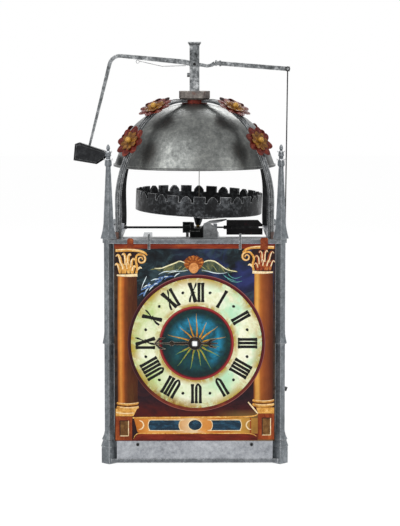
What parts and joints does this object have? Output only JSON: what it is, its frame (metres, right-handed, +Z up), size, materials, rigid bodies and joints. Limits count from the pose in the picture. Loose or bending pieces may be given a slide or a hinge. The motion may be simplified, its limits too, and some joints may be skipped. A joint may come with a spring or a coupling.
{
  "type": "gothic clock",
  "caption": "Weight-driven iron chamber clock in an open frame of corner pillars, with a painted dial, single hand, balance wheel, bell on arched straps and a top hammer.",
  "frame": {"origin": "middle of the four pillars, on the surface that the feet stand on", "axes": "+Z up, the dial faces -Y, +X to the right as one looks at the dial"},
  "size_m": [0.2241, 0.1905, 0.4233],
  "materials": {
    "frame_iron": "forged, filed, grey",
    "bright_iron": "polished and mottled",
    "dark_iron": "blackened",
    "movement_iron": "filed",
    "dial_paint": "painted",
    "red_paint": "worn",
    "leaf_paint": "worn",
    "gold_paint": "worn",
    "rusty_iron": "rusty",
    "thread": "waxed"
  },
  "bodies": {
    "hour_hand": {"hour_hand": "dark_iron", "hour_wheel": "movement_iron"},
    "going_great_wheel": {"going_great_wheel": "movement_iron"},
    "going_rope_pulley": {"going_rope_pulley": "movement_iron"},
    "going_second_wheel": {"going_second_wheel": "movement_iron"},
    "escape_wheel": {"escape_wheel": "movement_iron"},
    "balance": {"verge": "dark_iron", "balance_wheel": "dark_iron"},
    "strike_great_wheel": {"strike_great_wheel": "movement_iron"},
    "strike_rope_pulley": {"strike_rope_pulley": "movement_iron"},
    "strike_hoop_wheel": {"strike_hoop_wheel": "movement_iron"},
    "strike_third_wheel": {"strike_third_wheel": "movement_iron"},
    "fly": {"fly_arbor": "dark_iron", "fly_vane": "dark_iron"},
    "count_wheel": {"count_wheel": "movement_iron"},
    "hammer": {"hammer_arm": "frame_iron", "hammer_head": "dark_iron", "hammer_tail_bar": "frame_iron", "hammer_spring": "bright_iron"},
    "pull_wire": {"pull_wire": "frame_iron"},
    "lift_lever": {"lift_lever": "movement_iron"},
    "frame": {"base_rails": "frame_iron", "bell": "bright_iron", "bell_bolt": "movement_iron", "bell_washer": "red_paint", "crown_block": "rusty_iron", "dial_pins": "dark_iron", "dial_plate": "dial_paint", "dial_tabs": "frame_iron", "fly_cocks": "dark_iron", "front_sill": "frame_iron", "going_front_bar": "frame_iron", "going_rear_bar": "frame_iron", "hammer_pin": "bright_iron", "hammer_post": "frame_iron", "lower_potence": "movement_iron", "movement_crossbars": "frame_iron", "pillar_back_left": "frame_iron", "pillar_back_right": "frame_iron", "pillar_front_left": "frame_iron", "pillar_front_right": "frame_iron", "rosette_inner_leaves": "gold_paint", "rosette_outer_leaves": "leaf_paint", "rosette_rivets": "gold_paint", "strap_back_left": "frame_iron", "strap_back_right": "frame_iron", "strap_foot_wedges": "rusty_iron", "strap_front_left": "frame_iron", "strap_front_right": "frame_iron", "strike_bar_left": "frame_iron", "strike_bar_right": "frame_iron", "strike_rails": "frame_iron", "suspension_thread": "thread", "top_rail_back": "frame_iron", "top_rail_front": "frame_iron", "top_rail_left": "frame_iron", "top_rail_right": "frame_iron", "verge_cock": "dark_iron"}
  },
  "joints": [
    {"name": "going_great_spin", "type": "hinge", "parent": "frame", "child": "going_great_wheel", "pos_m": [0, -0.065, 0.102], "axis": [0, 1, 0], "continuous": true},
    {"name": "going_pulley_spin", "type": "hinge", "parent": "going_great_wheel", "child": "going_rope_pulley", "pos_m": [0, -0.055, 0.102], "axis": [0, 1, 0], "continuous": true},
    {"name": "going_second_spin", "type": "hinge", "parent": "frame", "child": "going_second_wheel", "pos_m": [0, -0.05, 0.147], "axis": [0, 1, 0], "continuous": true},
    {"name": "escape_spin", "type": "hinge", "parent": "frame", "child": "escape_wheel", "pos_m": [0, -0.04, 0.187], "axis": [0, 1, 0], "continuous": true},
    {"name": "hour_hand_turn", "type": "hinge", "parent": "frame", "child": "hour_hand", "pos_m": [0, -0.09, 0.123], "axis": [0, 1, 0], "continuous": true},
    {"name": "balance_swing", "type": "hinge", "parent": "frame", "child": "balance", "pos_m": [0.0046, 0, 0.2589], "axis": [0.0384, -0.0244, 0.999], "range_deg": [-50, 50]},
    {"name": "strike_great_spin", "type": "hinge", "parent": "frame", "child": "strike_great_wheel", "pos_m": [-0.014, 0.038, 0.099], "axis": [1, 0, 0], "continuous": true},
    {"name": "strike_pulley_spin", "type": "hinge", "parent": "strike_great_wheel", "child": "strike_rope_pulley", "pos_m": [0.006, 0.038, 0.099], "axis": [1, 0, 0], "continuous": true},
    {"name": "hoop_spin", "type": "hinge", "parent": "frame", "child": "strike_hoop_wheel", "pos_m": [-0.034, 0.038, 0.144], "axis": [1, 0, 0], "continuous": true},
    {"name": "third_spin", "type": "hinge", "parent": "frame", "child": "strike_third_wheel", "pos_m": [-0.0075, 0.038, 0.187], "axis": [1, 0, 0], "continuous": true},
    {"name": "fly_spin", "type": "hinge", "parent": "frame", "child": "fly", "pos_m": [0, 0.038, 0.228], "axis": [1, 0, 0], "continuous": true},
    {"name": "count_spin", "type": "hinge", "parent": "frame", "child": "count_wheel", "pos_m": [-0.058, 0.038, 0.06], "axis": [1, 0, 0], "continuous": true},
    {"name": "hammer_pivot", "type": "hinge", "parent": "frame", "child": "hammer", "pos_m": [0, 0, 0.4004], "axis": [0, 1, 0], "range_deg": [-3, 8]},
    {"name": "wire_pivot", "type": "hinge", "parent": "hammer", "child": "pull_wire", "pos_m": [0.0961, 0, 0.3956], "axis": [0, 1, 0], "range_deg": [-8, 3]},
    {"name": "lift_lever_pivot", "type": "hinge", "parent": "frame", "child": "lift_lever", "pos_m": [0.022, 0, 0.062], "axis": [0, 1, 0], "range_deg": [-4.2, 11]}
  ],
  "couplings": [
    {"joint": "going_second_spin", "follows": "going_great_spin", "ratio": -9},
    {"joint": "escape_spin", "follows": "going_great_spin", "ratio": 81},
    {"joint": "hour_hand_turn", "follows": "going_great_spin", "ratio": -0.16667},
    {"joint": "hoop_spin", "follows": "strike_great_spin", "ratio": -8},
    {"joint": "third_spin", "follows": "strike_great_spin", "ratio": 56},
    {"joint": "fly_spin", "follows": "strike_great_spin", "ratio": -392},
    {"joint": "count_spin", "follows": "strike_great_spin", "ratio": -0.10256},
    {"joint": "wire_pivot", "follows": "hammer_pivot", "ratio": -1},
    {"joint": "lift_lever_pivot", "follows": "hammer_pivot", "ratio": 1.3638}
  ]
}
